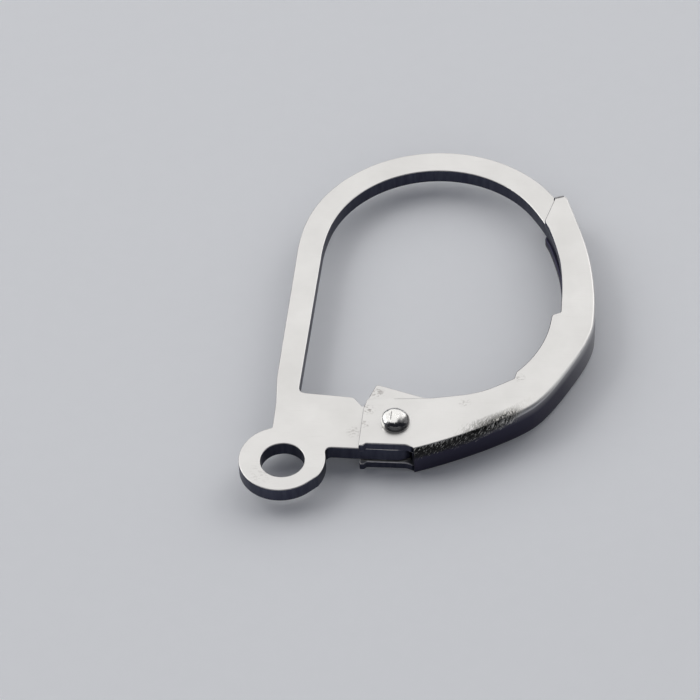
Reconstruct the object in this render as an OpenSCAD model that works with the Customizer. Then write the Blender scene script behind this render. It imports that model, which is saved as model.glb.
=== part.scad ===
/* [Stock] */
// Thickness of the flat blank that the ear hook is stamped from
hook_t = 0.50; // [0.42:0.02:0.60]
// Thickness of the sheet that the lever is folded from
sheet_t = 0.28; // [0.22:0.01:0.32]
// Running clearance between the hook and each cheek of the lever
side_gap = 0.03; // [0.02:0.005:0.05]

/* [Pendant ring] */
// Diameter of the hole that takes a drop or a jump ring
hole_d = 1.36; // [1.10:0.02:1.44]
// Diameter of the ring
ring_d = 2.62; // [2.50:0.02:2.70]
// Fillet between the ring and the plate's left edge
ring_fillet = 0.10; // [0.06:0.01:0.14]
// Fillet between the ring and the plate's lower edge
ring_side_fillet = 0.18; // [0.10:0.01:0.20]

/* [Plate and tongue] */
// Height of the plate's lower edge above the middle of the hole
plate_low = 0.61; // [0.58:0.01:0.66]
// Height of the plate's upper edge where it meets the stem
plate_high = 2.84; // [2.70:0.02:2.90]
// Distance from the hole to the notch between plate and tongue
notch_x = 2.27; // [2.20:0.01:2.34]
// Reach of the tongue's cam corner above the pivot
cam_rise = 1.81; // [1.60:0.01:1.90]

/* [Ear wire] */
// Width of the stem just above the plate
stem_w = 0.74; // [0.66:0.02:0.80]
// Width of the wire over the top of the ear hook
wire_w = 0.82; // [0.74:0.02:0.86]
// Width of the free end inside the lever
tail_w = 0.46; // [0.40:0.02:0.50]
// Radius of the wire's inner edge over the top
top_r = 3.57; // [3.55:0.01:3.60]
// Radius of the wire's inner edge where the stem starts to bend
stem_bend_r = 6.00; // [5.95:0.05:6.05]

/* [Lever] */
// Distance from the hole to the lever's outermost point
lever_reach = 9.18; // [9.16:0.01:9.22]
// Height of that outermost point above the hole
bulge_y = 6.19; // [6.15:0.01:6.25]
// Outer radius of the lever's back
back_r = 5.20; // [5.15:0.01:5.25]
// How far the back is flattened below its outermost point
back_flat = 0.17; // [0.10:0.01:0.18]
// Outer radius of the lever from the pivot to the back
foot_r = 15.0; // [14.8:0.1:15.2]
// Outer radius of the lever above the back
upper_r = 11.5; // [11.4:0.1:11.8]
// Length of the straight thumb tip at the top
tip_len = 1.50; // [1.40:0.05:1.55]
// Outer radius of the folded edges at the foot
foot_fold_r = 0.10; // [0.06:0.01:0.34]
// Outer radius of the folded edges where they are roundest, at the guide tabs' lower step
fold_r = 0.15; // [0.08:0.01:0.34]
// Outer radius of the folded edges from the lever's widest point to its tip
upper_fold_r = 0.08; // [0.06:0.01:0.34]
// Depth of the guide tabs, from the lever's back to their free edge
tab_depth = 1.42; // [1.36:0.01:1.44]
// Depth of the cheeks above the tabs
cheek_depth = 0.96; // [0.94:0.01:1.02]

/* [Pivot] */
// Place of the rivet, from the middle of the ring's hole
pivot_x = 3.36; // [3.32:0.01:3.40]
// Height of the rivet above the middle of the ring's hole
pivot_y = 1.50; // [1.48:0.01:1.54]
// Diameter of the rivet's shank
rivet_d = 0.56; // [0.48:0.02:0.60]
// Diameter of the domed head
head_d = 0.88; // [0.80:0.02:0.94]
// Height of the domed head
head_h = 0.28; // [0.20:0.02:0.36]
// Height of the low head underneath
foot_h = 0.11; // [0.08:0.01:0.14]
// Radial clearance of the rivet in the tongue
pivot_gap = 0.02; // [0.01:0.005:0.03]

/* [Hidden] */
$fn = 96;
arc_steps = 24;
corner_steps = 6;

half_hook = hook_t / 2;
half_slot = half_hook + side_gap;
half_lever = half_slot + sheet_t;
cut_over = 1;
seat_gap = 0.01;
same_point = 0.002;

pivot = [pivot_x, pivot_y];

// The ring is two equal discs a little apart, so its outline is slightly oval
ring_c = [-0.05, 0.07];
ring_side_c = [0.01, 0.07];
ring_step_y = -0.85;

// Centres of the lever's three outer arcs, each tangent to the next
foot_end = -57;
upper_end = 20;
back_c = [lever_reach - back_r, bulge_y];
foot_c = back_c + (back_r - foot_r) * polar(foot_end);
upper_c = back_c + [back_r - upper_r, 0];

// Inner edge of the ear wire: stem bend, top, shoulder and tail, each tangent to the next
bend_start = [0.332, 8.633];
bend_c = bend_start + [stem_bend_r, 0];
bend_end = 167.3;
top_c = bend_c + (stem_bend_r - top_r) * polar(bend_end);
top_end = 36;
top_stop = top_c + top_r * polar(top_end);
wire_play = 0.04;
tail_r = upper_r - sheet_t - wire_play - tail_w;
to_top = top_stop - upper_c;
shoulder_r = (to_top * to_top - tail_r * tail_r) / (2 * (to_top * polar(top_end) - tail_r));
shoulder_c = top_stop - shoulder_r * polar(top_end);
shoulder_end = atan2(shoulder_c[1] - upper_c[1], shoulder_c[0] - upper_c[0]);
tail_end = -2;
tail_c = upper_c + (tail_r + tail_w / 2) * polar(tail_end);
bend_w = wire_w - 0.03;
shoulder_w = wire_w + 0.03;
slot_r = tail_r + tail_w;
slot_mouth = upper_c + slot_r * polar(upper_end) + (tip_len - 0.05) * polar(upper_end + 90);
knee = top_c + (top_r + shoulder_w) * polar(top_end);
knee_r = 0.50;

// Box of the whole part, which the finished pieces are centred on
low_x = ring_c[0] - ring_d / 2;
low_y = ring_c[1] - ring_d / 2;
high_y = top_c[1] + top_r + wire_w;
head_z = half_lever + seat_gap;
floor_z = head_z + foot_h;
to_frame = [-(low_x + lever_reach) / 2, -(low_y + high_y) / 2, floor_z];

function polar(a) = [cos(a), sin(a)];
function unit(v) = v / norm(v);
function turn(a) = (a + 540) % 360 - 180;
function heading(v) = atan2(v[1], v[0]);
function flat(lists) = [for (list = lists) for (item = list) item];

// Points along an arc from angle a0 to a1
function arc(c, r, a0, a1) =
    [for (i = [0 : arc_steps]) c + r * polar(a0 + (a1 - a0) * i / arc_steps)];

// The same, with the radius growing evenly from r0 to r1
function easing_arc(c, r0, r1, a0, a1) =
    [for (i = [0 : arc_steps])
        let (s = i / arc_steps)
        c + (r0 + (r1 - r0) * s) * polar(a0 + (a1 - a0) * s)];

// One corner b between a and c, where b is [x, y, radius]
function corner(a, b, c) =
    let (p = [b[0], b[1]],
         u = unit([a[0], a[1]] - p),
         v = unit([c[0], c[1]] - p),
         half = acos(u * v) / 2,
         centre = p + unit(u + v) * b[2] / sin(half),
         reach = b[2] / tan(half),
         a0 = heading(p + u * reach - centre),
         sweep = turn(heading(p + v * reach - centre) - a0))
    [for (i = [0 : corner_steps]) centre + b[2] * polar(a0 + sweep * i / corner_steps)];

// A list of points without those that repeat the next one
function distinct(points) =
    let (n = len(points))
    [for (i = [0 : n - 1]) if (norm(points[(i + 1) % n] - points[i]) > same_point) points[i]];

// A closed outline of [x, y, radius] corners, with a radius of 0 for a sharp one
function outline(points) =
    let (n = len(points))
    distinct(flat([for (i = [0 : n - 1])
        points[i][2] == 0
            ? [[points[i][0], points[i][1]]]
            : corner(points[(i + n - 1) % n], points[i], points[(i + 1) % n])]));

function sharp(points) = [for (p = points) [p[0], p[1], 0]];
function reversed(list) = [for (i = [len(list) - 1 : -1 : 0]) list[i]];

// Stem, loop and tail along their inner edge
function wire_inner() = flat([
    arc(bend_c, stem_bend_r, 180, bend_end),
    arc(top_c, top_r, bend_end, top_end),
    arc(shoulder_c, shoulder_r, top_end, shoulder_end),
    arc(upper_c, tail_r, shoulder_end, tail_end)]);

// The same along their outer edge, which narrows at a knee to slip into the lever
function wire_outer() = flat([
    sharp(easing_arc(bend_c, stem_bend_r + bend_w, stem_bend_r + wire_w, 180, bend_end)),
    sharp(easing_arc(top_c, top_r + wire_w, top_r + shoulder_w, bend_end, top_end + 5)),
    [[knee[0], knee[1], knee_r]],
    sharp([slot_mouth]),
    sharp(arc(upper_c, slot_r, upper_end, tail_end))]);

// Corners of the plate and the tongue, round the rivet from the plate's lower edge
stem_x = 0.205;
cam_lean = -15.7;
cam_r = pivot_y - plate_low;
cam_tip = pivot + [-0.76, cam_rise];
cam_side = pivot + cam_r * polar(cam_lean);
cam_far = cam_side + 1.48 * polar(cam_lean + 90);
function tongue_corners() = flat([
    sharp(arc(pivot, cam_r, -90, cam_lean)),
    [[cam_far[0], cam_far[1], 0.15],
     [cam_tip[0], cam_tip[1], 0.10],
     [notch_x, 2.33, 0.02],
     [notch_x - 0.33, plate_high - 0.11, 0.25],
     [stem_x, plate_high, 0.22]]]);

// The ring, from the plate's left edge round to its lower edge, with a fillet at each end
plate_x = -0.45;
ring_r = ring_d / 2;
function ring_edge() =
    let (reach = ring_r + ring_fillet,
         across = plate_x - ring_fillet - ring_c[0],
         upper = ring_c + [across, sqrt(reach * reach - across * across)],
         side_reach = ring_r + ring_side_fillet,
         drop = plate_low - ring_side_fillet - ring_side_c[1],
         lower = ring_side_c + [sqrt(side_reach * side_reach - drop * drop), drop],
         step = asin((ring_step_y - ring_side_c[1]) / ring_r))
    flat([
        arc(upper, ring_fillet, 0, heading(ring_c - upper)),
        arc(ring_c, ring_r, heading(upper - ring_c), 360 + step),
        arc(ring_side_c, ring_r, step, heading(lower - ring_side_c)),
        arc(lower, ring_side_fillet, heading(lower - ring_side_c) + 180, 90)]);

function hook_outline() = outline(flat([
    tongue_corners(),
    sharp(wire_inner()),
    sharp(arc(tail_c, tail_w / 2, tail_end - 180, tail_end)),
    reversed(wire_outer()),
    [[stem_x - stem_w, 3.45, 1.0],
     [plate_x, 2.35, 1.0]],
    sharp(ring_edge())]));

// The ear hook: ring, plate, tongue, stem and hook, stamped in one piece
module ear_hook() {
    color("silver")
    translate(to_frame)
    difference() {
        translate([0, 0, -half_hook])
        linear_extrude(hook_t)
        polygon(hook_outline());
        translate([0, 0, -half_hook - cut_over])
        cylinder(h = hook_t + 2 * cut_over, d = hole_d);
        translate([pivot_x, pivot_y, -half_hook - cut_over])
        cylinder(h = hook_t + 2 * cut_over, r = rivet_d / 2 + pivot_gap);
    }
}

// Half of the lever's section, as [distance in from the wall, height]
fold_steps = 4;
channel_depth = 2.45;
function fold_half(r) = concat(
    [[channel_depth, half_lever]],
    [for (i = [0 : fold_steps]) [r, half_lever - r] + r * polar(90 + 90 * i / fold_steps)]);

function channel_section(r) = concat(
    fold_half(r),
    [for (p = reversed(fold_half(r))) [p[0], -p[1]]],
    [[channel_depth, -half_slot],
     [sheet_t, -half_slot],
     [sheet_t, half_slot],
     [channel_depth, half_slot]]);

// The same section as convex faces: cheek, fold, back, fold, cheek
function section_faces() =
    let (fold_end = fold_steps + 1,
         far_end = 2 * fold_steps + 2,
         low = far_end + 3,
         high = low + 1)
    [[0, 1, high, high + 1],
     concat([high], [for (j = [1 : fold_end]) j]),
     [high, fold_end, fold_end + 1, low],
     concat([low], [for (j = [fold_end + 1 : far_end]) j]),
     [low, far_end, far_end + 1, far_end + 2]];

// Share of the back's flattening at angle a: full halfway along flat_span, none at its ends
flat_span = [-47, -3];
flat_power = 1.4;
function flattening(a) =
    let (t = (a - flat_span[0]) / (flat_span[1] - flat_span[0]))
    t > 0 && t < 1 ? pow(sin(180 * t), flat_power) : 0;

// Stations along the lever's outer wall, as [point, direction into the loop, fold radius]
eye_start = -77;
station_step = 3;
// Where the fold's radius starts to grow
fold_start = -63;
function stations(c, r, flat_in, a0, a1, fold_0, fold_1) =
    let (n = ceil((a1 - a0) / station_step))
    [for (i = [0 : n - 1])
        let (s = i / n, a = a0 + (a1 - a0) * s, outer = r - flat_in * flattening(a))
        [c + outer * polar(a), -polar(a), fold_0 + (fold_1 - fold_0) * s]];

function lever_path() =
    let (last = upper_c + upper_r * polar(upper_end))
    concat(
        stations(foot_c, foot_r, 0, eye_start, fold_start, foot_fold_r, foot_fold_r),
        stations(foot_c, foot_r, 0, fold_start, foot_end, foot_fold_r, fold_r),
        stations(back_c, back_r, back_flat, foot_end, 0, fold_r, upper_fold_r),
        stations(upper_c, upper_r, 0, 0, upper_end, upper_fold_r, upper_fold_r),
        [[last, -polar(upper_end), upper_fold_r],
         [last + tip_len * polar(upper_end + 90), -polar(upper_end), upper_fold_r]]);

// The folded sheet: the section carried along the path, closed at both ends
module folded_sheet() {
    path = lever_path();
    n = len(channel_section(fold_r));
    last = len(path) - 1;
    points = [for (s = path) for (p = channel_section(s[2]))
        [s[0][0] + s[1][0] * p[0], s[0][1] + s[1][1] * p[0], p[1]]];
    sides = [for (i = [0 : last - 1]) for (j = [0 : n - 1])
        let (a = i * n + j, b = i * n + (j + 1) % n)
        [a, a + n, b + n, b]];
    polyhedron(points, concat(
        sides,
        section_faces(),
        [for (face = section_faces()) [for (j = reversed(face)) last * n + j]]));
}

// Outline of the folded sheet from above: eye, tabs and tip, open on the wall's side
plan_far = 12.5;
plan_side = 10.5;
plan_near = -0.5;
function lever_plan() =
    let (tab_r = back_r - tab_depth,
         open_r = upper_r - cheek_depth,
         narrow_r = open_r - 0.10,
         step = upper_c + narrow_r * polar(1.2))
    outline(flat([
        [[2.305, 0.46, 0.04],
         [2.315, 1.99, 0],
         [2.40, 2.41, 0.06],
         [4.40, 2.57, 1.5],
         [5.85, 2.86, 3.0],
         [6.865, 3.53, 0.05]],
        sharp(easing_arc(back_c, tab_r, tab_r + 0.07, -39, -2)),
        [[step[0] - 0.27, step[1] - 0.13, 0.06],
         [step[0], step[1], 0.10]],
        sharp(easing_arc(upper_c, narrow_r, open_r, 3.5, 13.5)),
        sharp(arc(upper_c, open_r, 14, 21.5)),
        [[7.33, 10.36, 0.20],
         [7.60, 11.40, 0.10],
         [7.62, plan_far, 0],
         [plan_side, plan_far, 0],
         [plan_side, plan_near, 0],
         [4.35, plan_near, 0],
         [4.02, 0.49, 0],
         [3.75, 0.575, 0.30],
         [2.53, 0.56, 0.05],
         [2.43, 0.455, 0.02]]]));

// The lever: one sheet folded into a channel, with two ears at the pivot
module lever() {
    color("gainsboro")
    translate(to_frame)
    difference() {
        intersection() {
            folded_sheet();
            translate([0, 0, -half_lever - cut_over])
            linear_extrude(2 * (half_lever + cut_over))
            polygon(lever_plan());
        }
        translate([pivot_x, pivot_y, -half_lever - cut_over])
        cylinder(h = 2 * (half_lever + cut_over), r = rivet_d / 2 + seat_gap);
    }
}

// A head of the rivet: a cap of a ball, standing h above the cheek
module head(d, h) {
    ball_r = (d * d / 4 + h * h) / (2 * h);
    rotate_extrude()
    intersection() {
        translate([0, h - ball_r]) circle(ball_r);
        square([d, h]);
    }
}

// The rivet: a round shank with a dome on top and a low head underneath
module rivet() {
    color("whitesmoke")
    translate(to_frame)
    translate([pivot_x, pivot_y, 0])
    union() {
        translate([0, 0, -head_z]) cylinder(h = 2 * head_z, d = rivet_d);
        translate([0, 0, head_z]) head(head_d, head_h);
        translate([0, 0, -head_z]) mirror([0, 0, 1]) head(head_d, foot_h);
    }
}

ear_hook();
lever();
rivet();
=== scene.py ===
import bpy
import numpy as np
from mathutils import Matrix, Vector
from mathutils.geometry import tessellate_polygon


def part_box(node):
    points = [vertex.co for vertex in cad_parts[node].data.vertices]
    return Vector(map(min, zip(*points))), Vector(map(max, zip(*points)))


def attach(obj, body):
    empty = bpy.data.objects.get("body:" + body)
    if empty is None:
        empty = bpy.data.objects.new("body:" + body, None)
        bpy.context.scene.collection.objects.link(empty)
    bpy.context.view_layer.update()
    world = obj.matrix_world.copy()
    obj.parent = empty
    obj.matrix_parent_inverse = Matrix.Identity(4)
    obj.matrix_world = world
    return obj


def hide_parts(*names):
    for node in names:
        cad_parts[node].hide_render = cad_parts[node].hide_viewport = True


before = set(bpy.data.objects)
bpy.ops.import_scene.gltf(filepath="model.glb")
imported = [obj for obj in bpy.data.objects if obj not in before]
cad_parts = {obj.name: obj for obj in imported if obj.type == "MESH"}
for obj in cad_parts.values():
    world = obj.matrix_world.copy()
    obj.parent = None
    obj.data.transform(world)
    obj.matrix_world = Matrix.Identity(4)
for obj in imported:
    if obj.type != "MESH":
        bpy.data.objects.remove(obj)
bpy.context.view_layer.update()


# Ear hook
# The ear hook is one flat piece of silver-plated brass, 0.5 mm thick: pendant ring, plate, tongue,
# stem and bow. It is stamped, so its rim is sheared, and tumbled, so its edges are soft.

# Everything is drawn in millimetres from the middle of the ring's hole: x along the plate, y up.
MM = 0.001
SAME_POINT = 0.003

# The ring is two equal discs a little apart. The second one starts RING_BRIDGE degrees after the
# first one ends.
RING_R, HOLE_R = 1.31, 0.68
RING_C, RING_SIDE_C = np.array([-0.05, 0.07]), np.array([0.01, 0.07])
RING_STEP_Y, RING_BRIDGE = -0.85, 14
RING_FILLET, RING_SIDE_FILLET = 0.10, 0.18

hook_low, hook_high = (np.array(corner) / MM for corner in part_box("ear_hook"))
HOOK_Z = (hook_high[2] - hook_low[2]) / 2
HOLE_AT = np.array([*(hook_low[:2] + RING_R - RING_C), (hook_low[2] + hook_high[2]) / 2])

# Plate and tongue, with the radius of each corner
PIVOT = np.array([3.36, 1.50])
PLATE_LOW, PLATE_HIGH, PLATE_X = 0.61, 2.84, -0.45
CHAMFER, CHAMFER_R = (0.33, 0.11), 0.25
NOTCH, NOTCH_R = np.array([2.27, 2.33]), 0.04
CAM_R, CAM_LEAN, CAM_FLAT, CAM_FAR_R = PIVOT[1] - PLATE_LOW, -15.7, 1.48, 0.15
CAM_TIP, CAM_TIP_R = PIVOT + [-0.76, 1.81], 0.10

# Stem: its inner side, its width, and where its outer side bends out to the plate
STEM_X, STEM_W, STEM_ROOT_R = 0.205, 0.74, 0.22
WAIST_HIGH, WAIST_LOW, WAIST_R = 3.45, 2.35, 1.0
KNEE_R = 0.50

# The lever's sheet and its outer arcs, which the hook's free end follows
SHEET_T = 0.28
LEVER_REACH, BULGE_Y = 9.18, 6.19
FOOT_R, BACK_R, UPPER_R = 15.0, 5.20, 11.5
FOOT_START, FOOT_END, UPPER_END, TIP_LEN = -69, -57, 20, 1.50


def polar(degrees):
    """Unit vectors at the given angles, in degrees from the x axis."""
    a = np.radians(degrees)
    return np.stack([np.cos(a), np.sin(a)], axis=-1)


def arc(centre, r0, a0, a1, r1=None, steps=40):
    """Points round a centre from angle a0 to a1, with the radius going evenly from r0 to r1."""
    t = np.linspace(0, 1, steps + 1)
    radius = r0 + ((r0 if r1 is None else r1) - r0) * t
    return centre + radius[:, None] * polar(a0 + (a1 - a0) * t)


def rounded(before, at, after, radius, steps=8):
    """The corner at a point, replaced by an arc that touches both of its sides."""
    at = np.array(at, float)
    u, v = (np.array(p, float) - at for p in (before, after))
    u, v = u / np.linalg.norm(u), v / np.linalg.norm(v)
    half = np.arccos(np.clip(u @ v, -1, 1)) / 2
    middle = (u + v) / np.linalg.norm(u + v)
    centre = at + middle * radius / np.sin(half)
    reach = radius / np.tan(half)
    start, end = (at + w * reach - centre for w in (u, v))
    a0 = np.degrees(np.arctan2(start[1], start[0]))
    a1 = np.degrees(np.arctan2(end[1], end[0]))
    return arc(centre, radius, a0, a0 + (a1 - a0 + 180) % 360 - 180, steps=steps)


def outline(parts):
    """A closed outline from arrays of points and (x, y, radius) corners, each point once."""
    ends = [(np.array(p[:2]), np.array(p[:2])) if isinstance(p, tuple) else (p[0], p[-1])
            for p in parts]
    rows = []
    for i, part in enumerate(parts):
        if isinstance(part, tuple) and part[2] > 0:
            part = rounded(ends[i - 1][1], part[:2], ends[(i + 1) % len(parts)][0], part[2])
        rows.append(np.atleast_2d(np.array(part)[..., :2]))
    points = np.concatenate(rows)
    far = np.linalg.norm(np.roll(points, -1, axis=0) - points, axis=1) > SAME_POINT
    return points[far]


def hook_outline():
    """Tongue round the rivet, inner edge of the bow, its free end, outer edge, stem, ring."""
    back_c = np.array([LEVER_REACH - BACK_R, BULGE_Y])
    upper_c = back_c + [BACK_R - UPPER_R, 0]
    bend_r, top_r, bend_end, top_end = 6.00, 3.57, 167.3, 36
    wire_w, wire_grows, tail_w, tail_end, wire_play, mouth_in = 0.82, 0.03, 0.46, -2, 0.04, 0.05
    bend_w, shoulder_w = wire_w - wire_grows, wire_w + wire_grows
    bend_start = np.array([0.332, 8.633])
    bend_c = bend_start + [bend_r, 0]
    top_c = bend_c + (bend_r - top_r) * polar(bend_end)
    top_stop = top_c + top_r * polar(top_end)
    tail_r = UPPER_R - SHEET_T - wire_play - tail_w
    across = top_stop - upper_c
    shoulder_r = (across @ across - tail_r ** 2) / (2 * (across @ polar(top_end) - tail_r))
    shoulder_c = top_stop - shoulder_r * polar(top_end)
    shoulder_end = np.degrees(np.arctan2(*(shoulder_c - upper_c)[::-1]))
    tail_c = upper_c + (tail_r + tail_w / 2) * polar(tail_end)
    slot_r = tail_r + tail_w
    slot_mouth = upper_c + slot_r * polar(UPPER_END) + (TIP_LEN - mouth_in) * polar(UPPER_END + 90)
    knee = top_c + (top_r + shoulder_w) * polar(top_end)
    inner = np.concatenate([
        arc(bend_c, bend_r, 180, bend_end, steps=16),
        arc(top_c, top_r, bend_end, top_end, steps=72),
        arc(shoulder_c, shoulder_r, top_end, shoulder_end, steps=24),
        arc(upper_c, tail_r, shoulder_end, tail_end, steps=24)])
    outer = np.concatenate([
        arc(bend_c, bend_r + bend_w, 180, bend_end, bend_r + wire_w, 16),
        arc(top_c, top_r + wire_w, bend_end, top_end + 5, top_r + shoulder_w, 72)])[::-1]
    held = np.concatenate([[slot_mouth], arc(upper_c, slot_r, UPPER_END, tail_end, steps=24)])[::-1]
    free_end = arc(tail_c, tail_w / 2, tail_end - 180, tail_end, steps=16)
    cam_far = PIVOT + CAM_R * polar(CAM_LEAN) + CAM_FLAT * polar(CAM_LEAN + 90)
    x = PLATE_X - RING_FILLET - RING_C[0]
    upper = RING_C + [x, np.sqrt((RING_R + RING_FILLET) ** 2 - x ** 2)]
    y = PLATE_LOW - RING_SIDE_FILLET - RING_SIDE_C[1]
    lower = RING_SIDE_C + [np.sqrt((RING_R + RING_SIDE_FILLET) ** 2 - y ** 2), y]
    step = np.degrees(np.arcsin((RING_STEP_Y - RING_SIDE_C[1]) / RING_R))
    to_upper = np.degrees(np.arctan2(*(upper - RING_C)[::-1]))
    to_lower = np.degrees(np.arctan2(*(lower - RING_SIDE_C)[::-1]))
    ring = np.concatenate([
        arc(upper, RING_FILLET, 0, to_upper - 180, steps=6),
        arc(RING_C, RING_R, to_upper, 360 + step, steps=72),
        arc(RING_SIDE_C, RING_R, step + RING_BRIDGE, to_lower, steps=16),
        arc(lower, RING_SIDE_FILLET, to_lower + 180, 90, steps=8)])
    return outline([
        arc(PIVOT, CAM_R, -90, CAM_LEAN, steps=16),
        (*cam_far, CAM_FAR_R), (*CAM_TIP, CAM_TIP_R), (*NOTCH, NOTCH_R),
        (NOTCH[0] - CHAMFER[0], PLATE_HIGH - CHAMFER[1], CHAMFER_R),
        (STEM_X, PLATE_HIGH, STEM_ROOT_R),
        inner, free_end, held, (*knee, KNEE_R), outer,
        (STEM_X - STEM_W, WAIST_HIGH, WAIST_R), (PLATE_X, WAIST_LOW, WAIST_R), ring])


def inward(points):
    """For each point of a closed loop, the step into its left side that moves both sides by one."""
    side = np.roll(points, -1, axis=0) - points
    side /= np.linalg.norm(side, axis=1, keepdims=True)
    left = np.stack([-side[:, 1], side[:, 0]], axis=1)
    both = left + np.roll(left, 1, axis=0)
    both /= np.linalg.norm(both, axis=1, keepdims=True)
    return both / np.clip((both * left).sum(axis=1, keepdims=True), 0.5, 1)


def anticlockwise(triangles, flat):
    """Triangles between points of a plane, each turned so that it goes round anticlockwise."""
    p, q, r = (flat[triangles[:, i]] for i in range(3))
    u, v = q - p, r - p
    left = u[:, 0] * v[:, 1] - u[:, 1] * v[:, 0] > 0
    return np.where(left[:, None], triangles, triangles[:, ::-1])


def stacked(flat, heights):
    """Rows of flat points, each row lifted to its own height."""
    lifted = np.broadcast_to(heights[:, None, None], (*flat.shape[:2], 1))
    return np.concatenate([flat, lifted], axis=2)


def stamped(loops, low, high, edge_r, square=None, steps=4):
    """A flat plate with soft edges between two heights, as (points, faces, normals, rim).

    Each loop, the outside one first, is repeated at heights that follow a quarter circle of radius
    edge_r at the bottom and the top: at angle t it moves in by r (1 - cos t) and up by r sin t.
    The two flats are filled between the last rows. Points marked in square keep a sharp edge.
    rim is 1 on the sheared side and 0 on the flats.
    """
    t = np.radians(np.linspace(0, 90, steps + 1))
    move = edge_r * (1 - np.cos(np.concatenate([t[::-1], t])))
    lean = np.concatenate([-np.sin(t[::-1]), np.sin(t)])
    height = np.concatenate([low + edge_r * (1 - np.sin(t[::-1])), high - edge_r * (1 - np.sin(t))])
    level = np.sqrt(1 - lean ** 2)
    rows = len(height)
    points, faces, normals, rim, flats = [], [], [], [], ([], [])
    first = 0
    for number, loop in enumerate(loops):
        n = len(loop)
        step = inward(loop)
        out = -step / np.linalg.norm(step, axis=1, keepdims=True)
        if square is not None and number == 0:
            step = np.where(square[:, None], 0, step)
        points.append(stacked(loop + move[:, None, None] * step, height))
        normals.append(stacked(level[:, None, None] * out, lean))
        rim.append(np.repeat(level, n))
        at = first + np.arange(rows * n).reshape(rows, n)
        a, b = at[:-1], np.roll(at, -1, axis=1)[:-1]
        c, d = np.roll(at, -1, axis=1)[1:], at[1:]
        faces += np.stack([a, b, c, d], axis=-1).reshape(-1, 4).tolist()
        flats[0].append(at[0])
        flats[1].append(at[-1])
        first += rows * n
    points = np.concatenate([p.reshape(-1, 3) for p in points])
    for side, ids in enumerate(flats):
        loops_3d = [[Vector((*points[i][:2], 0)) for i in loop] for loop in ids]
        fill = np.concatenate(ids)[np.array(tessellate_polygon(loops_3d))]
        fill = anticlockwise(fill, points[:, :2])
        faces += (fill if side == 1 else fill[:, ::-1]).tolist()
    return points, faces, np.concatenate([n.reshape(-1, 3) for n in normals]), np.concatenate(rim)


def piece(name, points, faces, normals=None, values=None, uv=None):
    """A mesh object in the frame, in metres, from points in the drawing's millimetres."""
    mesh = bpy.data.meshes.new(name)
    mesh.from_pydata(((points + HOLE_AT) * MM).tolist(), [], faces)
    mesh.polygons.foreach_set("use_smooth", np.ones(len(mesh.polygons), bool))
    for key, value in (values or {}).items():
        kept = mesh.attributes.new(key, "FLOAT", "POINT")
        kept.data.foreach_set("value", value.astype(np.float32))
    if uv is not None:
        corner = np.empty(len(mesh.loops), np.int32)
        mesh.loops.foreach_get("vertex_index", corner)
        sheet = mesh.uv_layers.new(name="sheet")
        sheet.data.foreach_set("uv", uv[corner].astype(np.float32).ravel())
    mesh.update()
    if normals is not None:
        mesh.normals_split_custom_set_from_vertices(normals.tolist())
    made = bpy.data.objects.new(name, mesh)
    bpy.context.collection.objects.link(made)
    return made


class Value:
    """A shader socket with a number in it. Arithmetic on it adds Math nodes."""

    def __init__(self, finish, socket):
        self.finish, self.socket = finish, socket

    def math(self, operation, *others, clamp=False):
        operands = dict(enumerate(others))
        settings = {"operation": operation, "use_clamp": clamp}
        return self.finish.node("ShaderNodeMath", settings, operands)[0]

    def __add__(self, other): return self.math("ADD", self, other)
    def __radd__(self, other): return self.math("ADD", other, self)
    def __sub__(self, other): return self.math("SUBTRACT", self, other)
    def __rsub__(self, other): return self.math("SUBTRACT", other, self)
    def __mul__(self, other): return self.math("MULTIPLY", self, other)
    def __rmul__(self, other): return self.math("MULTIPLY", other, self)
    def __truediv__(self, other): return self.math("DIVIDE", self, other)
    def __abs__(self): return self.math("ABSOLUTE", self)

    def between(self, low, high):
        """0 below low, 1 above high and a straight ramp between them."""
        return self.math("MULTIPLY", self - low, 1 / (high - low), clamp=True)


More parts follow.
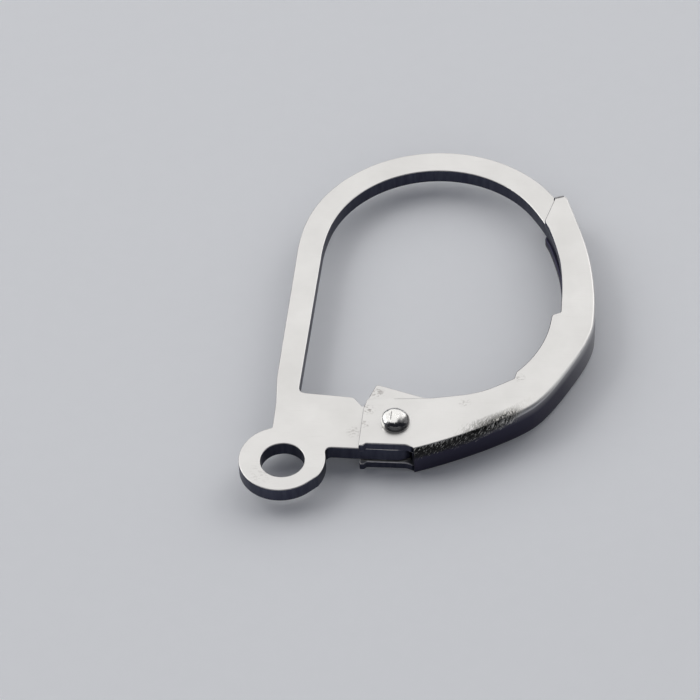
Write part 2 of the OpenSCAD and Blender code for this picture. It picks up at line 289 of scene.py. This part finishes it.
class Finish:
    """A metal or paint made of shader nodes on one Principled shader."""

    def __init__(self, name, **sockets):
        self.material = bpy.data.materials.new(name)
        self.material.use_nodes = True
        self.tree = self.material.node_tree
        self.shader = self.tree.nodes["Principled BSDF"]
        for key, value in sockets.items():
            self.shader.inputs[key.replace("_", " ")].default_value = value

    def node(self, kind, settings=None, sockets=None):
        """Adds a node and returns its outputs. Sockets take numbers, colours or other outputs."""
        node = self.tree.nodes.new(kind)
        for key, value in (settings or {}).items():
            setattr(node, key, value)
        for key, value in (sockets or {}).items():
            if isinstance(value, Value):
                self.tree.links.new(value.socket, node.inputs[key])
            else:
                node.inputs[key].default_value = value
        return [Value(self, output) for output in node.outputs]

    def feed(self, **sockets):
        for key, value in sockets.items():
            self.tree.links.new(value.socket, self.shader.inputs[key.replace("_", " ")])

    def place(self, stretch=(1, 1, 1)):
        """Object coordinates in millimetres, stretched along the three axes."""
        at = self.node("ShaderNodeTexCoord")[3]
        scale = tuple(s / MM for s in stretch)
        return self.node("ShaderNodeVectorMath", {"operation": "MULTIPLY"}, {0: at, 1: scale})[0]

    def noise(self, at, scale, detail=3.0, rough=0.55):
        sockets = {"Vector": at, "Scale": scale, "Detail": detail, "Roughness": rough}
        return self.node("ShaderNodeTexNoise", {}, sockets)[0]

    def mix(self, factor, first, second):
        """The first colour where factor is 0 and the second where it is 1."""
        sockets = {0: factor, 6: first, 7: second}
        return self.node("ShaderNodeMix", {"data_type": "RGBA"}, sockets)[2]

    def bump(self, height, distance, strength=1.0, under=None):
        sockets = {"Height": height, "Distance": distance * MM, "Strength": strength}
        if under is not None:
            sockets["Normal"] = under
        return self.node("ShaderNodeBump", {}, sockets)[0]

    def value(self, name):
        """A number that the mesh keeps at each of its points."""
        return self.node("ShaderNodeAttribute", {"attribute_name": name})[2]

    def near(self, at, x, y, reach):
        """1 at a point of the drawing and 0 beyond the reach, in millimetres, at any height."""
        flat = self.node(
            "ShaderNodeVectorMath", {"operation": "MULTIPLY"}, {0: at, 1: (1, 1, 0)})[0]
        centre = (x + HOLE_AT[0], y + HOLE_AT[1], 0)
        away = self.node("ShaderNodeVectorMath", {"operation": "DISTANCE"}, {0: flat, 1: centre})[1]
        return (1 - away * (1 / reach)).between(0, 0.6)


def satin_silver(name, *dark_patches):
    """Satin silver plating on the flats, with faint clouds and hairlines, and a sheared rim painted
    near-black: a painted reflection of the dark surroundings that its walls mirror.

    Each dark patch (x, y, reach, strength) is a patch of fine dark scuffs at a place in the
    drawing.
    """
    metal = Finish(name, Metallic=1.0)
    at = metal.place()
    clouds = metal.noise(at, 0.7, 3.0).between(0.3, 0.7)
    tumbling = metal.noise(at, 14.0, 4.0, 0.6)
    hairs = metal.noise(metal.place((1.2, 26.0, 2.0)), 1.0, 2.0)
    scuffs = metal.noise(metal.place((9.0, 16.0, 9.0)), 1.0, 3.0, 0.6).between(0.5, 0.62)
    sheared = metal.noise(metal.place((7.0, 7.0, 1.0)), 1.0, 2.0)
    dark_rim = (metal.value("rim") + (tumbling - 0.5) * 0.2).between(0.72, 0.96)
    colour = metal.mix(clouds, (0.67, 0.665, 0.655, 1), (0.75, 0.745, 0.735, 1))
    colour = metal.mix(hairs.between(0.62, 0.75) * 0.25, colour, (0.60, 0.59, 0.57, 1))
    for x, y, reach, strength in dark_patches:
        mark = metal.near(at, x, y, reach) * scuffs * strength
        colour = metal.mix(mark, colour, (0.22, 0.20, 0.19, 1))
    # Painted reflection: the sheared walls are painted near-black blue, standing in for the dark
    # surroundings they mirror; the streaks in it are the rim's own sheared texture.
    dark_rim_colour = metal.mix(
        sheared.between(0.3, 0.7), (0.045, 0.048, 0.075, 1), (0.07, 0.074, 0.105, 1))
    metal.colour = metal.mix(dark_rim, colour, dark_rim_colour)
    metal.gloss = 0.25 + clouds * 0.07 + tumbling * 0.10 + dark_rim * 0.08
    metal.relief = tumbling * 0.5 + hairs * 0.35 + sheared * dark_rim * 0.5
    return metal


def finish_satin(metal):
    """Joins the colour, roughness and relief to the shader."""
    metal.feed(Base_Color=metal.colour, Roughness=metal.gloss,
               Normal=metal.bump(metal.relief, 0.006, 0.4))
    return metal.material


EDGE_R = 0.035
points, faces, normals, rim = stamped(
    [hook_outline(), arc(np.zeros(2), HOLE_R, 0, -360, steps=96)[:-1]], -HOOK_Z, HOOK_Z, EDGE_R)
ear_hook = piece("hook_blank", points, faces, normals, {"rim": rim})
# The first dark patch, at the tongue's tip above the cheek, is scratches with painted shade: its
# dark brown stands in for the slight shadow there.
ear_hook.data.materials.append(finish_satin(satin_silver(
    "hook_silver", (2.66, 2.96, 0.28, 0.55), (2.10, 1.30, 0.30, 0.35), (-0.6, -0.6, 0.5, 0.2))))
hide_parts("ear_hook")
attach(ear_hook, "hook")


# Lever
# The lever is one thinner sheet of the same brass, folded lengthwise into a channel. Both cheeks
# have an eye for the rivet and a guide tab halfway up, and are pinched into a shallow valley above
# it. The outside of the fold is left coarse near the foot, where the tumbling didn't reach; between
# its flecks that band is painted near-black, a painted reflection of the dark surroundings.

HALF_SLOT, HALF_LEVER = 0.28, 0.56
CHEEK_EDGE_R, TIP_ROUND, EYE_HOLE_R = 0.04, 0.10, 0.29
EYE_CORNER = (2.315, 1.99)
FLAT_IN, FLAT_SPAN, FLAT_POWER = 0.17, (-47, -3), 1.4
NEAR = 1e-6

# The section is drawn with a fold of FOLD_R. Its outside is then drawn in to the real radius, which
# these rows give by the distance from the foot along the wall.
FOLD_R = 0.34
FOOT_FOLD_R, UPPER_FOLD_R = 0.09, 0.08
foot_len, back_len = np.radians([(FOOT_END - FOOT_START) * FOOT_R, -FOOT_END * BACK_R])
FOLD_ALONG = [0, 1.5, foot_len, foot_len + back_len]
FOLD_RADII = [FOOT_FOLD_R, 0.12, 0.15, UPPER_FOLD_R]

back_c = np.array([LEVER_REACH - BACK_R, BULGE_Y])
foot_c = back_c + (BACK_R - FOOT_R) * polar(FOOT_END)
upper_c = back_c + [BACK_R - UPPER_R, 0]


def inner_edge():
    """Free edge of the cheeks from the eye to the tip, in the order of the outline."""
    tab_r, open_r, narrow_r = BACK_R - 1.42, UPPER_R - 0.96, UPPER_R - 1.06
    step = upper_c + narrow_r * polar(1.2)
    closed = outline([
        (1.0, 1.90, 0), (*EYE_CORNER, 0), (2.40, 2.41, 0.06), (4.40, 2.57, 1.5), (5.85, 2.86, 3.0),
        (6.865, 3.53, 0.05), arc(back_c, tab_r, -39, -2, tab_r + 0.07),
        (step[0] - 0.27, step[1] - 0.13, 0.06), (*step, 0.10),
        arc(upper_c, narrow_r, 3.5, 13.5, open_r), arc(upper_c, open_r, 14, 21.5),
        (7.33, 10.36, 0.20), (7.60, 11.40, 0.10), (7.62, 12.5, 0),
        (1.0, 12.5, 0)])
    return closed[1:-1]


def stations():
    """Points along the outer wall from the foot to the tip, with the direction into the loop.

    The back's arc is flattened: at share t of FLAT_SPAN it lies further in by
    FLAT_IN * sin(pi t) ** FLAT_POWER.
    """
    rows = []
    for centre, radius, flat_in, a0, a1, steps in (
            (foot_c, FOOT_R, 0, FOOT_START, FOOT_END, 60),
            (back_c, BACK_R, FLAT_IN, FOOT_END, 0, 170),
            (upper_c, UPPER_R, 0, 0, UPPER_END, 100)):
        angle = np.linspace(a0, a1, steps + 1)[:-1]
        t = np.clip((angle - FLAT_SPAN[0]) / (FLAT_SPAN[1] - FLAT_SPAN[0]), 0, 1)
        outer = radius - flat_in * np.sin(np.pi * t) ** FLAT_POWER
        rows.append(np.hstack([centre + outer[:, None] * polar(angle), -polar(angle)]))
    along = np.concatenate([np.linspace(0, TIP_LEN - CHEEK_EDGE_R, 28),
                            TIP_LEN - CHEEK_EDGE_R * (1 - np.sin(np.radians([30, 60, 90])))])
    corner = upper_c + UPPER_R * polar(UPPER_END)
    tip = corner + along[:, None] * polar(UPPER_END + 90)
    rows.append(np.hstack([tip, np.broadcast_to(-polar(UPPER_END), tip.shape)]))
    rows = np.concatenate(rows)
    return rows[:, :2], rows[:, 2:]


def cheek_depth(wall, way, edge):
    """Distance from each wall point along its direction to the first crossing of the free edge."""
    a, b = edge[:-1], edge[1:]
    side = b - a
    gap = a[None] - wall[:, None]
    cross = way[:, None, 0] * side[None, :, 1] - way[:, None, 1] * side[None, :, 0]
    depth = (gap[..., 0] * side[None, :, 1] - gap[..., 1] * side[None, :, 0]) / cross
    place = (gap[..., 0] * way[:, None, 1] - gap[..., 1] * way[:, None, 0]) / cross
    hit = (place >= -NEAR) & (place <= 1 + NEAR) & (depth > 0.2)
    return np.where(hit, depth, np.inf).min(axis=1)


def sheet_section():
    """The closed section of the channel, as rows of (offset, share of depth, height).

    A point lies offset + share * depth in from the wall. Going round: the end of the top cheek, its
    outside, the fold, the back, the other fold and cheek, then the inside back to the start.
    """
    def corner(centre, share, r, a0, a1, n=3):
        turn = polar(np.linspace(a0, a1, n + 1))
        return [(centre[0] + r * u, share, centre[1] + r * v) for u, v in turn]

    e, inner_r = CHEEK_EDGE_R, FOLD_R - SHEET_T
    half = corner((-e, HALF_SLOT + e), 1, e, -90, 0) + corner((-e, HALF_LEVER - e), 1, e, 0, 90)
    for f in np.linspace(1, 0, 26)[1:-1]:
        half.append((FOLD_R - f * (FOLD_R + e), f, HALF_LEVER))
    half += corner((FOLD_R, HALF_LEVER - FOLD_R), 0, FOLD_R, 90, 180, 12)
    half += [(0, 0, z) for z in np.linspace(HALF_LEVER - FOLD_R, 0, 5)[1:-1]]
    inside = corner((FOLD_R, -HALF_LEVER + FOLD_R), 0, inner_r, -180, -90)[::-1]
    cheek = [(FOLD_R - f * (FOLD_R + e), f, -HALF_SLOT) for f in np.linspace(1, 0, 8)[1:-1]]
    inside = cheek + inside
    inside += [(SHEET_T, 0, z) for z in np.linspace(-HALF_SLOT + inner_r, 0, 4)[1:-1]]
    other = [(o, s, -z) for o, s, z in half[::-1]]
    back = [(o, s, -z) for o, s, z in inside[::-1]]
    rows = half + [(0, 0, 0)] + other + inside + [(SHEET_T, 0, 0)] + back
    return np.array(rows)


def valley(along, depth_in, depth):
    """How far the cheek's outside sinks: a soft groove between the rim and the fold.

    The groove's middle wanders from 1.02 mm to 0.50 mm in from the wall. It starts at the tab's
    lower step and runs out at the tip. It sinks by sink * exp(-((depth_in - middle) / wide) ** 2).
    """
    middle = np.interp(along, [3.0, 4.2, 5.5, 8.0, 10.0, 12.0, 13.6],
                       [1.02, 0.95, 0.84, 0.77, 0.76, 0.62, 0.50])
    sink = np.interp(along, [3.6, 4.6, 5.6, 8.5, 11.6, 13.4],
                     [0, 0.012, 0.026, 0.030, 0.020, 0])
    wide = np.where(depth_in < middle[:, None], 0.30, 0.22)
    return sink[:, None] * np.exp(-((depth_in - middle[:, None]) / wide) ** 2)


def drawn_back(left, radius):
    """How far a rounded end lies back, with left to go: r - sqrt(r ** 2 - (r - left) ** 2)."""
    return radius - np.sqrt(np.clip(radius ** 2 - np.clip(radius - left, 0, None) ** 2, 0, None))


def marks(along, depth_in, z, fold_r, section):
    """What the finish reads at each point of the sheet, each as a flat array from 0 to about 1.

    rim is the sheared edge of the sheet. The painted shade darkens the channel's inside, the lower
    cheek's inner edge and the back below its upper fold, where it stands in for the dark floor that
    the wall mirrors.
    The coarse value is the band that the tumbling missed: at the foot it covers the upper half of
    the wall, and further on it climbs over the fold onto the cheek; between its flecks it is
    painted near-black, a painted reflection. lit is painted highlight: it makes more of its flecks
    bright where the fold catches more light.
    """
    offset, share, height = section
    across = along[:, None]
    inside = (np.abs(height) < HALF_SLOT + NEAR) & ((offset > SHEET_T - NEAR) | (share > 0))
    on_back = (share == 0) & (offset < FOLD_R - 0.005) & ~inside
    # Painted shade: marks the back below its upper fold, the channel's inside and the lower cheek's
    # inner edge to be painted near-black.
    below_top = np.clip((HALF_LEVER - 0.06 - z) / 0.10, 0, 1)
    above_foot = np.clip((HALF_LEVER - 0.01 + z) / 0.03, 0, 1)
    painted_shade = np.interp(across, [0.0, 5.5, 8.0, 12.0], [1.0, 1.0, 0.7, 0.5])
    painted_shade = painted_shade * on_back * below_top * above_foot
    low_edge = (share == 1) & (height < 0) & (height > -HALF_LEVER + 0.01)
    painted_shade = np.maximum(painted_shade, inside | low_edge)
    off_middle = np.abs(np.abs(height) - (HALF_SLOT + HALF_LEVER) / 2)
    rim = (share == 1) & (off_middle < SHEET_T / 2 - 0.005)
    coarse_low = np.interp(across, [0, 2.0, 3.1, 3.8], [0.0, 0.04, 0.20, 0.42])
    at_flat = np.clip((z - 0.53) / 0.025, 0, 1)
    on_wall = np.clip((z - coarse_low) / 0.26, 0, 1)
    on_wall -= np.interp(across, [0.8, 2.0, 2.9], [0.90, 0.50, 0.10]) * at_flat
    on_cheek = np.clip(1.3 - (depth_in - fold_r) / 0.30, 0, 1) * (height > HALF_LEVER - NEAR)
    on_cheek *= np.interp(across, [0.7, 2.3], [0.0, 0.90])
    coarse_and_shade = np.where(share == 0, on_wall * (offset < FOLD_R + NEAR) * ~inside, on_cheek)
    coarse_and_shade *= np.interp(across, [0.0, 0.2, 2.2, 3.4, 4.3, 5.0], [1.0, 1.0, 0.90, 0.82, 0.64, 0.0])
    lit = np.interp(across, [0.0, 1.5, 2.2, 3.1, 4.2], [0.25, 0.35, 0.55, 1.1, 1.5])
    lit = lit + np.interp(across, [1.0, 2.0], [1.0, 0.1]) * np.clip((height - 0.22) / 0.34, 0, 1)
    found = {"rim": rim.astype(float), "coarse_and_shade": coarse_and_shade, "painted_shade": painted_shade, "lit": lit}
    return {key: np.broadcast_to(value, z.shape).ravel() for key, value in found.items()}


def folded(edge):
    """The channel: the section carried along the stations, closed by a flat at each end.

    Towards the tip the wall draws back by a quarter circle of TIP_ROUND, and the skin sinks by one
    of CHEEK_EDGE_R. The sheet's coordinates are the distances along the wall and round the section.
    """
    wall, way = stations()
    along = np.concatenate([[0], np.cumsum(np.linalg.norm(np.diff(wall, axis=0), axis=1))])
    depth = cheek_depth(wall, way, edge)
    section = sheet_section().T
    offset, share, height = section
    in_fold = (share == 0) & (offset < FOLD_R + NEAR)
    in_fold &= np.abs(height) > HALF_LEVER - FOLD_R - NEAR
    in_fold &= np.hypot(offset - FOLD_R, np.abs(height) - HALF_LEVER + FOLD_R) > FOLD_R - NEAR
    fold_r = np.interp(along, FOLD_ALONG, FOLD_RADII)[:, None]
    fold = fold_r / FOLD_R
    recess, inset = (drawn_back(along[-1] - along, radius) for radius in (TIP_ROUND, CHEEK_EDGE_R))
    depth_in = np.where(in_fold, offset * fold, offset + share * depth[:, None])
    depth_in = recess[:, None] + depth_in * ((depth - recess) / depth)[:, None]
    drawn_in = HALF_LEVER - (HALF_LEVER - np.abs(height)) * fold
    z = np.where(in_fold, np.sign(height) * drawn_in, height)
    outside = np.abs(height) > HALF_LEVER - 0.001
    z -= np.sign(z) * np.where(outside, valley(along, depth_in, depth), 0)
    ahead_d = np.roll(depth_in, -1, axis=1) - np.roll(depth_in, 1, axis=1)
    ahead_z = np.roll(z, -1, axis=1) - np.roll(z, 1, axis=1)
    size = np.hypot(ahead_d, ahead_z)
    depth_in = depth_in + inset[:, None] * ahead_z / size
    z = z - inset[:, None] * ahead_d / size
    flat = wall[:, None] + way[:, None] * depth_in[..., None]
    points = np.concatenate([flat, z[..., None]], axis=2).reshape(-1, 3)
    rows, n = z.shape
    at = np.arange(rows * n).reshape(rows, n)
    a, b = at[:-1], np.roll(at, -1, axis=1)[:-1]
    c, d = np.roll(at, -1, axis=1)[1:], at[1:]
    faces = np.stack([a, d, c, b], axis=-1).reshape(-1, 4).tolist()
    shape = np.stack([depth_in[0], z[0]], axis=1)
    fill = anticlockwise(np.array(tessellate_polygon([[Vector((*p, 0)) for p in shape]])), shape)
    faces += (len(points) + fill[:, ::-1]).tolist() + (len(points) + n + fill).tolist()
    points = np.concatenate([points, points[at[0]], points[at[-1]]])
    around = np.hypot(np.diff(depth_in, axis=1, prepend=0), np.diff(z, axis=1, prepend=0))
    around = around.cumsum(axis=1)
    around -= around[:, np.argmin(np.abs(height) + offset + share)][:, None]
    uv = np.stack([np.broadcast_to(along[:, None], (rows, n)), around], axis=2).reshape(-1, 2)
    uv = np.concatenate([uv, np.repeat(uv[:1], 2 * n, axis=0)])
    values = {key: np.concatenate([value, np.full(2 * n, key == "rim")])
              for key, value in marks(along, depth_in, z, fold_r, section).items()}
    return points, faces, values, uv, depth[0]


edge = inner_edge()
points, faces, values, uv, foot_depth = folded(edge)
lever = piece("lever_sheet", points, faces, None, values, uv)


def folded_silver(name):
    """The same satin silver, with painted shade on the sheet's back and inside, and, where coarse,
    painted near-black with bright flecks.
    """
    # The last dark patch, round the rivet's head on the cheek, is painted shade where the head
    # meets the cheek.
    metal = satin_silver(
        name, (2.48, 1.95, 0.24, 0.75), (2.42, 1.35, 0.18, 0.6), (5.42, 2.42, 0.22, 0.45),
        (7.05, 3.55, 0.20, 0.5), (3.36, 1.50, 0.62, 0.25))
    sheet = metal.node("ShaderNodeSeparateXYZ", {}, {
        0: metal.node("ShaderNodeUVMap", {"uv_map": "sheet"})[0]})
    along, around = sheet[0], sheet[1]
    strokes = metal.node("ShaderNodeCombineXYZ", {}, {
        0: (along + around * 0.7) * 16.0, 1: around * 7.0, 2: 0.0})[0]
    flecks = metal.noise(strokes, 1.0, 3.0, 0.62)
    grit = metal.noise(strokes, 2.6, 2.0)
    streaks = flecks * 0.65 + grit * 0.35
    coarse_and_shade = (metal.value("coarse_and_shade") + (streaks - 0.5) * 1.7).between(0.28, 0.62)
    # Painted shade: near-black on the channel's inside and the lower cheek's inner edge, and a
    # painted reflection of the dark floor on the back wall.
    colour = metal.mix(metal.value("painted_shade"), metal.colour, (0.045, 0.043, 0.07, 1))
    lit = streaks + metal.value("lit") * 0.10
    # Painted reflection: between the flecks the band is near-black, standing in for the dark
    # surroundings the fold mirrors; lit is painted highlight, more bright flecks further along the
    # band.
    fleck_colour = metal.mix(
        lit.between(0.575, 0.73), (0.018, 0.018, 0.018, 1), (0.71, 0.70, 0.67, 1))
    metal.colour = metal.mix(coarse_and_shade, colour, fleck_colour)
    metal.gloss = metal.gloss + coarse_and_shade * 0.15
    metal.relief = metal.relief + coarse_and_shade * streaks * 3.0
    return finish_satin(metal)


lever.data.materials.append(folded_silver("lever_silver"))


# The eyes are the flat ends of the cheeks, joined to the channel where its back begins.
def eye_outline(edge, foot_depth):
    """Left end, lower edge and the seam with the channel, then back along the free edge.

    It also says which of its points lie on the seam, where the eye's edge stays sharp.
    """
    seam = -polar(FOOT_START)
    wall = foot_c + FOOT_R * polar(FOOT_START)
    far = wall + foot_depth * seam
    near = edge[(edge[:, 0] < far[0] - 0.02) & (edge[:, 1] > EYE_CORNER[1] - 0.005)]
    low = outline([
        (*EYE_CORNER, 0), (2.305, 0.46, 0.04), (2.43, 0.455, 0.02), (2.53, 0.56, 0.05),
        (3.75, 0.575, 0.30), (*(wall + FOOT_FOLD_R * seam), 0), (*far, 0)])[1:]
    loop = np.concatenate([low, near[::-1]])
    across = (loop - wall) @ np.array([seam[1], -seam[0]])
    return loop, np.abs(across) < NEAR


loop, square = eye_outline(edge, foot_depth)
rivet_hole = arc(PIVOT, EYE_HOLE_R, 0, -360, steps=48)[:-1]
eye_parts = []
for name, low, high in (
        ("upper_eye", HALF_SLOT, HALF_LEVER), ("lower_eye", -HALF_LEVER, -HALF_SLOT)):
    points, faces, normals, rim = stamped([loop, rivet_hole], low, high, CHEEK_EDGE_R, square)
    none = np.zeros_like(rim)
    values = {"rim": rim, "coarse_and_shade": none, "painted_shade": none, "lit": none}
    eye = piece(name, points, faces, normals, values, np.zeros((len(points), 2)))
    eye.data.materials.append(lever.data.materials[0])
    eye_parts.append(eye)

for part in [lever, *eye_parts]:
    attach(part, "lever")
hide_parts("lever")


# Rivet
# The rivet is a short round pin of polished brass under the same plating, pushed through the eyes
# and the tongue. Its upper head is a high dome, and its lower end is peened to a low one.

RIVET_R, HEAD_R, HEAD_H, FOOT_H, HEAD_Z = 0.28, 0.44, 0.28, 0.11, 0.57
HEAD_POWER, FOOT_POWER = 3.1, 2.2
TOP_SHIFT, TOP_RISE_Y, TOP_FALL_X = 0.05, 0.03, 0.02
CUT_X, CUT_W, CUT_L = -0.13, 0.022, 0.20
SHADED_SIDE = np.array([0.55, -0.83])


def dome(radius, height, power, steps):
    """Profile of a head from its rim to its top, as (radius, height above the cheek).

    It follows (r / radius) ** power + (h / height) ** power = 1; a higher power is flatter on top.
    """
    t = np.linspace(0, np.pi / 2, steps + 1)
    return np.stack([radius * np.cos(t) ** (2 / power), height * np.sin(t) ** (2 / power)], axis=1)


def turned(profile, centre, steps=72):
    """A profile of (radius, height) rows turned round a vertical axis; its ends lie on the axis."""
    spin = np.linspace(0, 2 * np.pi, steps, endpoint=False)
    ring = profile[1:-1]
    x = centre[0] + ring[:, :1] * np.cos(spin)
    y = centre[1] + ring[:, :1] * np.sin(spin)
    z = np.broadcast_to(ring[:, 1:], x.shape)
    points = np.stack([x, y, z], axis=2).reshape(-1, 3)
    at = np.arange(len(points)).reshape(x.shape)
    a, b = at[:-1], np.roll(at, -1, axis=1)[:-1]
    c, d = np.roll(at, -1, axis=1)[1:], at[1:]
    faces = np.stack([a, b, c, d], axis=-1).reshape(-1, 4).tolist()
    poles = len(points) + np.array([0, 1])
    low, high = at[0], at[-1]
    faces += np.stack([np.roll(low, -1), low, np.full(steps, poles[0])], axis=1).tolist()
    faces += np.stack([high, np.roll(high, -1), np.full(steps, poles[1])], axis=1).tolist()
    ends = np.array([[*centre, profile[0, 1]], [*centre, profile[-1, 1]]])
    return np.concatenate([points, ends]), faces


upper = dome(HEAD_R, HEAD_H, HEAD_POWER, 30) + [0, HEAD_Z]
lower = (dome(HEAD_R, FOOT_H, FOOT_POWER, 12) + [0, HEAD_Z])[::-1] * [1, -1]
shank = np.array([[RIVET_R, -HEAD_Z], [RIVET_R, HEAD_Z]])
points, faces = turned(np.concatenate([lower, shank, upper]), PIVOT)

# The dome was struck a little off its axis, so its top leans. Its steep near side is painted
# near-black: a painted reflection of the dark front that the dome mirrors.
across = (points[:, :2] - PIVOT) / HEAD_R
shaded = (across ** 2).sum(axis=1) * (points[:, 2] > HEAD_Z) * (across @ SHADED_SIDE)
above = np.clip(points[:, 2] - HEAD_Z, 0, None) / HEAD_H
points[:, 0] -= TOP_SHIFT * above ** 2
points[:, 2] += above * TOP_RISE_Y * (points[:, 1] - PIVOT[1])
points[:, 2] -= above * TOP_FALL_X * (points[:, 0] - PIVOT[0])
rivet = piece("rivet_pin", points, faces, None, {"painted_dark_side": shaded})
polished = Finish("rivet_polish", Metallic=1.0)
at = polished.place()
smear = polished.noise(at, 3.4, 3.0)
lines = polished.noise(polished.place((30.0, 4.0, 4.0)), 1.0, 2.0).between(0.62, 0.74)
split = polished.node("ShaderNodeSeparateXYZ", {}, {0: at})
beside = abs(split[0] - float(PIVOT[0] + HOLE_AT[0] + CUT_X))
ahead = abs(split[1] - float(PIVOT[1] + HOLE_AT[1]))
cut = (1 - beside / CUT_W).between(0, 0.6) * (1 - ahead / CUT_L).between(0, 0.3)
tint = polished.mix(smear, (0.80, 0.795, 0.78, 1), (0.88, 0.875, 0.86, 1))
tint = polished.mix(lines * 0.25, tint, (0.40, 0.38, 0.37, 1))
# Painted reflection: the dome's steep near side is painted near-black.
dark_side = (polished.value("painted_dark_side") + (smear - 0.5) * 0.7).between(0.10, 0.30)
tint = polished.mix(dark_side * 0.9, tint, (0.06, 0.06, 0.065, 1))
polished.feed(Base_Color=polished.mix(cut * 0.7, tint, (0.20, 0.19, 0.19, 1)),
              Roughness=0.17 + smear * 0.12,
              Normal=polished.bump(smear * 2.0 + lines - cut * 2.0, 0.02, 0.5))
rivet.data.materials.append(polished.material)
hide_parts("rivet")
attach(rivet, "lever")


# Floor
# A plain pale sheet of matt card that the earring lies on.

FLOOR_HALF = 0.4
card = bpy.data.meshes.new("card")
card.from_pydata([(-FLOOR_HALF, -FLOOR_HALF, 0), (FLOOR_HALF, -FLOOR_HALF, 0),
                  (FLOOR_HALF, FLOOR_HALF, 0), (-FLOOR_HALF, FLOOR_HALF, 0)], [], [(0, 1, 2, 3)])
floor = bpy.data.objects.new("card", card)
bpy.context.collection.objects.link(floor)
paper = Finish("pale_card", Roughness=0.7)
grain = paper.noise(paper.place(), 1.6, 4.0)
paper.feed(Base_Color=paper.mix(grain, (0.84, 0.86, 0.90, 1), (0.86, 0.88, 0.92, 1)))
card.materials.append(paper.material)


# Studio light and camera
# Four soft boxes in a dim room: a large one behind, which the flats mirror, one at the back on the
# right, a wide low one in front and a brighter one at the left. The camera is at the photograph's
# angle: 47 degrees above the table and turned a little.

# AIM is the point looked at, in the drawing, and BACK, RIGHT and UP are the camera's own axes.
AIM = np.array([1.631, 4.706, 0.25])
BACK = np.array([0.0949, -0.6750, 0.7317])
RIGHT = np.array([0.99462, 0.09572, -0.04066])
UP = np.array([-0.0426, 0.73162, 0.6804])
DISTANCE, LENS, SENSOR = 156.25, 257.14, 36.0
WARM = (1.0, 0.985, 0.955)

target = (AIM + HOLE_AT) * MM


def soft_box(name, place, width, depth, brightness, colour):
    """A rectangular area light at a place in metres, facing the earring, of an even brightness."""
    lamp = bpy.data.lights.new(name, "AREA")
    lamp.shape, lamp.size, lamp.size_y, lamp.color = "RECTANGLE", width, depth, colour
    lamp.energy = brightness * np.pi * width * depth
    made = bpy.data.objects.new(name, lamp)
    made.location = place
    made.rotation_euler = (Vector(target) - Vector(place)).to_track_quat("-Z", "Y").to_euler()
    bpy.context.collection.objects.link(made)


soft_box("back_box", (-0.05, 0.36, 0.42), 1.10, 0.72, 1.0, WARM)
soft_box("right_box", (0.50, 0.36, 0.28), 0.70, 0.44, 1.0, WARM)
soft_box("front_box", (0.05, -0.52, 0.22), 1.00, 0.34, 0.50, WARM)
soft_box("left_box", (-0.46, 0.12, 0.34), 0.50, 0.40, 1.5, (1.0, 0.99, 0.97))

room = bpy.data.worlds.new("room")
room.use_nodes = True
room.node_tree.nodes["Background"].inputs["Color"].default_value = (0.060, 0.065, 0.085, 1)
room.node_tree.nodes["Background"].inputs["Strength"].default_value = 1.0
bpy.context.scene.world = room
bpy.context.scene.view_settings.view_transform = "Standard"

camera_data = bpy.data.cameras.new("camera")
camera_data.lens, camera_data.sensor_width = LENS, SENSOR
camera_data.clip_start = 0.01
camera = bpy.data.objects.new("camera", camera_data)
turn = Matrix(np.stack([RIGHT, UP, BACK], axis=1).tolist()).to_4x4()
camera.matrix_world = Matrix.Translation(target + BACK * DISTANCE * MM) @ turn
bpy.context.collection.objects.link(camera)
bpy.context.scene.camera = camera
